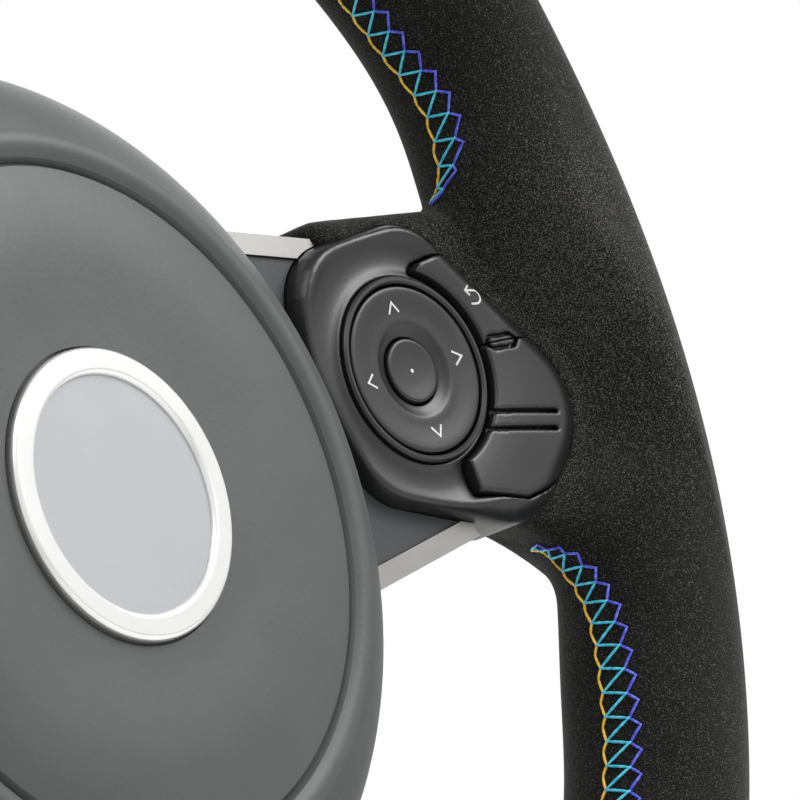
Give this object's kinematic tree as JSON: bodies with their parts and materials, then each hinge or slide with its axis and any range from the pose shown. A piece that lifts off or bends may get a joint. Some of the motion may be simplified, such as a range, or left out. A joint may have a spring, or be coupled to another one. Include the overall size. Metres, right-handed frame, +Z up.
{
  "type": "car steering wheel",
  "caption": "Three-spoke sports steering wheel with suede-wrapped rim, coloured cross-stitching, round horn pad and thumb-switch pods.",
  "frame": {"origin": "centre of the column bore at the rear face of the hub boss", "axes": "+X to the driver's right, +Y forward along the column away from the driver, +Z up with the wheel straight"},
  "size_m": [0.362, 0.0892, 0.362],
  "materials": {
    "cast_alloy": "as cast",
    "hub_steel": "machined",
    "black_plastic": "fine grain",
    "pad_skin": "soft touch",
    "emblem_field": "satin",
    "emblem_metal": "bright satin",
    "can_steel": "pressed",
    "cushion_cloth": "woven",
    "satin_silver": "satin",
    "inlay_grey": "satin",
    "fastener_steel": "zinc plated",
    "spring_steel": "bright",
    "suede": "napped",
    "foam": "moulded",
    "board_laminate": "smooth",
    "silicone": "smooth",
    "switch_plastic": "satin black"
  },
  "bodies": {
    "wheel": {"armature": "cast_alloy", "hub_boss": "hub_steel", "rear_cover": "black_plastic", "spoke_bezel_lower": "satin_silver", "spoke_panel_lower": "inlay_grey", "rear_screw_1": "fastener_steel", "horn_spring_1": "spring_steel", "rear_screw_2": "fastener_steel", "horn_spring_2": "spring_steel", "rear_screw_3": "fastener_steel", "horn_spring_3": "spring_steel", "rim_cover_right": "suede", "rim_foam_right": "foam", "spoke_bezel_right": "satin_silver", "spoke_panel_right": "inlay_grey", "switch_housing_right": "switch_plastic", "switch_bezel_right": "switch_plastic", "switch_blank_right": "switch_plastic", "switch_base_right": "switch_plastic", "switch_board_right": "board_laminate", "dome_mat_right": "silicone", "rim_cover_left": "suede", "rim_foam_left": "foam", "spoke_bezel_left": "satin_silver", "spoke_panel_left": "inlay_grey", "switch_housing_left": "switch_plastic", "switch_bezel_left": "switch_plastic", "switch_blank_left": "switch_plastic", "switch_base_left": "switch_plastic", "switch_board_left": "board_laminate", "dome_mat_left": "silicone"},
    "horn_module": {"horn_pad": "pad_skin", "emblem_base": "emblem_field", "emblem_ring": "emblem_metal", "airbag_housing": "can_steel", "inflator": "can_steel", "airbag_cushion": "cushion_cloth", "guide_pin_1": "fastener_steel", "guide_pin_2": "fastener_steel", "guide_pin_3": "fastener_steel"},
    "nav_gimbal_right": {"nav_gimbal_right": "black_plastic"},
    "nav_pad_right": {"nav_pad_right": "switch_plastic"},
    "enter_right": {"enter_button_right": "switch_plastic"},
    "back_right": {"back_button_right": "switch_plastic"},
    "nav_gimbal_left": {"nav_gimbal_left": "black_plastic"},
    "nav_pad_left": {"nav_pad_left": "switch_plastic"},
    "enter_left": {"enter_button_left": "switch_plastic"},
    "back_left": {"back_button_left": "switch_plastic"}
  },
  "joints": [
    {"name": "horn_press", "type": "slide", "parent": "wheel", "child": "horn_module", "axis": [0, 1, 0], "range_m": [0, 0.002], "stiffness_N_per_m": 6000, "springref_m": -0.002, "deforming": ["horn_spring_1", "horn_spring_2", "horn_spring_3"]},
    {"name": "nav_sway_right", "type": "hinge", "parent": "wheel", "child": "nav_gimbal_right", "pos_m": [0.11098, -0.06122, -0.00406], "axis": [0, 0, 1], "range_deg": [-2.5, 2.5], "stiffness_Nm_per_rad": 0.5},
    {"name": "nav_nod_right", "type": "hinge", "parent": "nav_gimbal_right", "child": "nav_pad_right", "pos_m": [0.11098, -0.06122, -0.00406], "axis": [0.9916, -0.1297, 0], "range_deg": [-2.5, 2.5], "stiffness_Nm_per_rad": 0.5},
    {"name": "enter_press_right", "type": "slide", "parent": "nav_pad_right", "child": "enter_right", "axis": [0.1297, 0.9916, 0], "range_m": [0, 0.0007], "stiffness_N_per_m": 2500, "springref_m": -0.0002},
    {"name": "back_press_right", "type": "slide", "parent": "wheel", "child": "back_right", "axis": [0.1297, 0.9916, 0], "range_m": [0, 0.0007], "stiffness_N_per_m": 2500, "springref_m": -0.0002},
    {"name": "nav_sway_left", "type": "hinge", "parent": "wheel", "child": "nav_gimbal_left", "pos_m": [-0.11098, -0.06122, -0.00406], "axis": [0, 0, 1], "range_deg": [-2.5, 2.5], "stiffness_Nm_per_rad": 0.5},
    {"name": "nav_nod_left", "type": "hinge", "parent": "nav_gimbal_left", "child": "nav_pad_left", "pos_m": [-0.11098, -0.06122, -0.00406], "axis": [0.9916, 0.1297, 0], "range_deg": [-2.5, 2.5], "stiffness_Nm_per_rad": 0.5},
    {"name": "enter_press_left", "type": "slide", "parent": "nav_pad_left", "child": "enter_left", "axis": [-0.1297, 0.9916, 0], "range_m": [0, 0.0007], "stiffness_N_per_m": 2500, "springref_m": -0.0002},
    {"name": "back_press_left", "type": "slide", "parent": "wheel", "child": "back_left", "axis": [-0.1297, 0.9916, 0], "range_m": [0, 0.0007], "stiffness_N_per_m": 2500, "springref_m": -0.0002}
  ]
}
